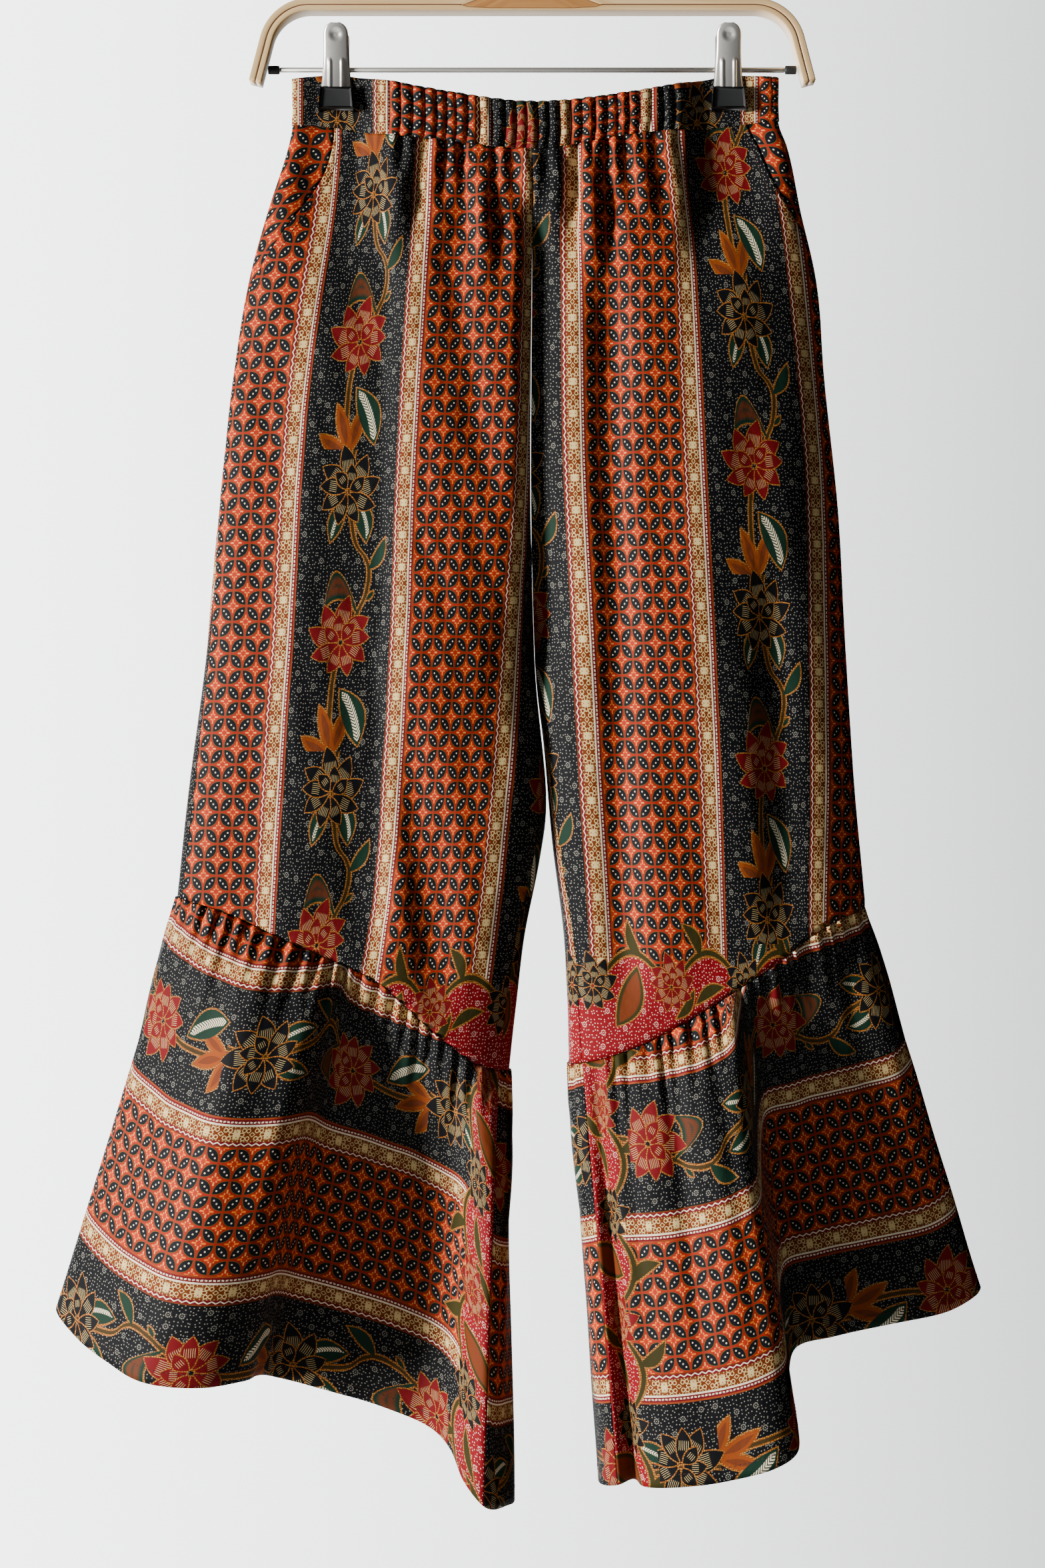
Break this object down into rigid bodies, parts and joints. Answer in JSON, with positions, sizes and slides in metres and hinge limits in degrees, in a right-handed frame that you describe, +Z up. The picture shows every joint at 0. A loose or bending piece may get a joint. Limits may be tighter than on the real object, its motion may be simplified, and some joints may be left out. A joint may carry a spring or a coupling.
{
  "type": "batik trousers on a clip hanger",
  "caption": "Wide-leg batik trousers with an elastic waistband, slant pockets and gathered hem ruffles, hanging by steel clips from a bentwood trouser hanger.",
  "frame": {"origin": "inside top of the hanger's hook, where a rail holds it", "axes": "+X is the viewer's right seen from the front, -Y is the garment's front, +Z is up"},
  "size_m": [0.6667, 0.1461, 1.1726],
  "materials": {
    "batik_cloth": "printed plain-weave cotton with a slight sheen",
    "ruffle_cloth": "printed plain-weave cotton with a slight sheen",
    "wood": "satin lacquered light beech",
    "veneer": "satin lacquered darker veneer",
    "steel": "bright nickelled steel",
    "rubber": "matte black"
  },
  "bodies": {
    "root": {"hanger_frame": "wood", "hanger_wedge": "veneer", "hook": "steel", "rod": "steel", "ferrule_left": "rubber", "ferrule_right": "rubber", "clip_left_spring": "steel", "clip_left_plate_front": "steel", "clip_left_plate_back": "steel", "clip_left_rubber_front": "rubber", "clip_left_rubber_back": "rubber", "clip_right_spring": "steel", "clip_right_plate_front": "steel", "clip_right_plate_back": "steel", "clip_right_rubber_front": "rubber", "clip_right_rubber_back": "rubber", "waistband_front": "batik_cloth", "waistband_back": "batik_cloth", "front_leg_left": "batik_cloth", "front_leg_right": "batik_cloth", "back_leg_left": "batik_cloth", "back_leg_right": "batik_cloth", "pocket_side_left": "batik_cloth", "pocket_side_right": "batik_cloth", "ruffle_front_left": "ruffle_cloth", "ruffle_back_left": "ruffle_cloth", "ruffle_front_right": "ruffle_cloth", "ruffle_back_right": "ruffle_cloth"}
  },
  "joints": []
}
